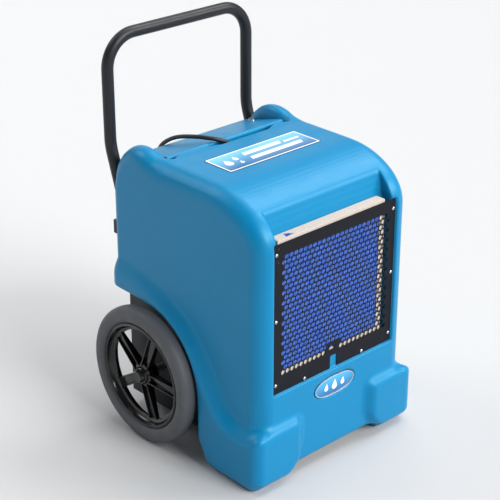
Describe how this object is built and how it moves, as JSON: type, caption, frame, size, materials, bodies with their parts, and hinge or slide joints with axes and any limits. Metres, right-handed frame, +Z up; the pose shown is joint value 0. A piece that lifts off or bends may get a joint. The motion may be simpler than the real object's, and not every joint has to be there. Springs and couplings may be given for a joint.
{
  "type": "commercial dehumidifier",
  "caption": "Wheeled commercial dehumidifier: moulded blue housing, bent tube handle, perforated inlet grille with sliding filter, rear fan outlet and coiled power cord.",
  "frame": {"origin": "on the floor under the middle of the machine's own box, without its loose cord", "axes": "+Z up, the inlet grille faces -Y, the wheels' axle lies along X"},
  "size_m": [0.527, 0.7281, 0.859],
  "materials": {
    "housing_blue": "rotomoulded polyethylene, fine orange peel",
    "black_steel": "satin powder coat",
    "zinc_steel": "bright zinc",
    "tyre_rubber": "semi-matte",
    "gloss_black": "gloss",
    "matte_black": "matte",
    "grey_plastic": "matte",
    "filter_card": "uncoated card",
    "filter_media": "non-woven fibre",
    "coil_fins": "stamped fins",
    "copper": "drawn copper tube",
    "brass": "machined",
    "label": "printed film",
    "red_plastic": "gloss",
    "cord_rubber": "satin jacket"
  },
  "bodies": {
    "root": {"accumulator": "black_steel", "axle": "zinc_steel", "axle_cap_left": "gloss_black", "axle_cap_right": "gloss_black", "base_tray": "black_steel", "compressor": "black_steel", "condenser_coil": "coil_fins", "control_plate": "grey_plastic", "cord_coil": "cord_rubber", "cord_gland": "matte_black", "cord_tie": "matte_black", "deck_bolt_left": "zinc_steel", "deck_bolt_right": "zinc_steel", "discharge_tube": "copper", "drain_connector": "brass", "drain_pan": "grey_plastic", "drain_tube": "grey_plastic", "electrical_box": "zinc_steel", "evaporator_coil": "coil_fins", "fan_guard": "black_steel", "fan_motor": "black_steel", "fan_shroud": "grey_plastic", "filter_drier": "copper", "front_badge": "label", "front_grille": "black_steel", "grille_screw_1": "zinc_steel", "grille_screw_2": "zinc_steel", "grille_screw_3": "zinc_steel", "grille_screw_4": "zinc_steel", "grille_screw_5": "zinc_steel", "grille_screw_6": "zinc_steel", "grille_screw_7": "zinc_steel", "grille_screw_8": "zinc_steel", "handle": "black_steel", "handle_clamp_left": "black_steel", "handle_clamp_right": "black_steel", "hour_meter": "gloss_black", "housing": "housing_blue", "motor_bracket": "zinc_steel", "power_cord": "cord_rubber", "power_plug": "cord_rubber", "pump_head": "matte_black", "pump_tank": "grey_plastic", "rear_deck": "housing_blue", "rear_panel": "black_steel", "suction_tube": "copper", "top_label": "label"},
    "wheel_left": {"tyre_left": "tyre_rubber", "rim_left": "gloss_black", "wheel_bush_left": "grey_plastic"},
    "wheel_right": {"tyre_right": "tyre_rubber", "rim_right": "gloss_black", "wheel_bush_right": "grey_plastic"},
    "fan": {"fan_blade": "gloss_black"},
    "filter": {"filter_frame": "filter_card", "filter_media": "filter_media"},
    "rocker": {"power_switch": "red_plastic"},
    "purge": {"purge_button": "gloss_black"},
    "breaker": {"breaker_button": "red_plastic"},
    "float": {"pump_float": "matte_black"}
  },
  "joints": [
    {"name": "wheel_left_spin", "type": "hinge", "parent": "root", "child": "wheel_left", "pos_m": [-0.242, 0.08705, 0.154], "axis": [1, 0, 0], "continuous": true},
    {"name": "wheel_right_spin", "type": "hinge", "parent": "root", "child": "wheel_right", "pos_m": [0.242, 0.08705, 0.154], "axis": [1, 0, 0], "continuous": true},
    {"name": "fan_spin", "type": "hinge", "parent": "root", "child": "fan", "pos_m": [0, 0.14235, 0.448], "axis": [0, 1, 0], "continuous": true},
    {"name": "filter_lift", "type": "slide", "parent": "root", "child": "filter", "axis": [0, 0, 1], "range_m": [0, 0.32]},
    {"name": "power_rocker", "type": "hinge", "parent": "root", "child": "rocker", "pos_m": [0.1405, 0.19385, 0.4], "axis": [1, 0, 0], "range_deg": [0, 16]},
    {"name": "purge_press", "type": "slide", "parent": "root", "child": "purge", "axis": [0, -1, 0], "range_m": [0, 0.003], "stiffness_N_per_m": 400},
    {"name": "breaker_trip", "type": "slide", "parent": "root", "child": "breaker", "axis": [0, 1, 0], "range_m": [0, 0.004]},
    {"name": "float_rise", "type": "slide", "parent": "root", "child": "float", "axis": [0, 0, 1], "range_m": [0, 0.035]}
  ]
}
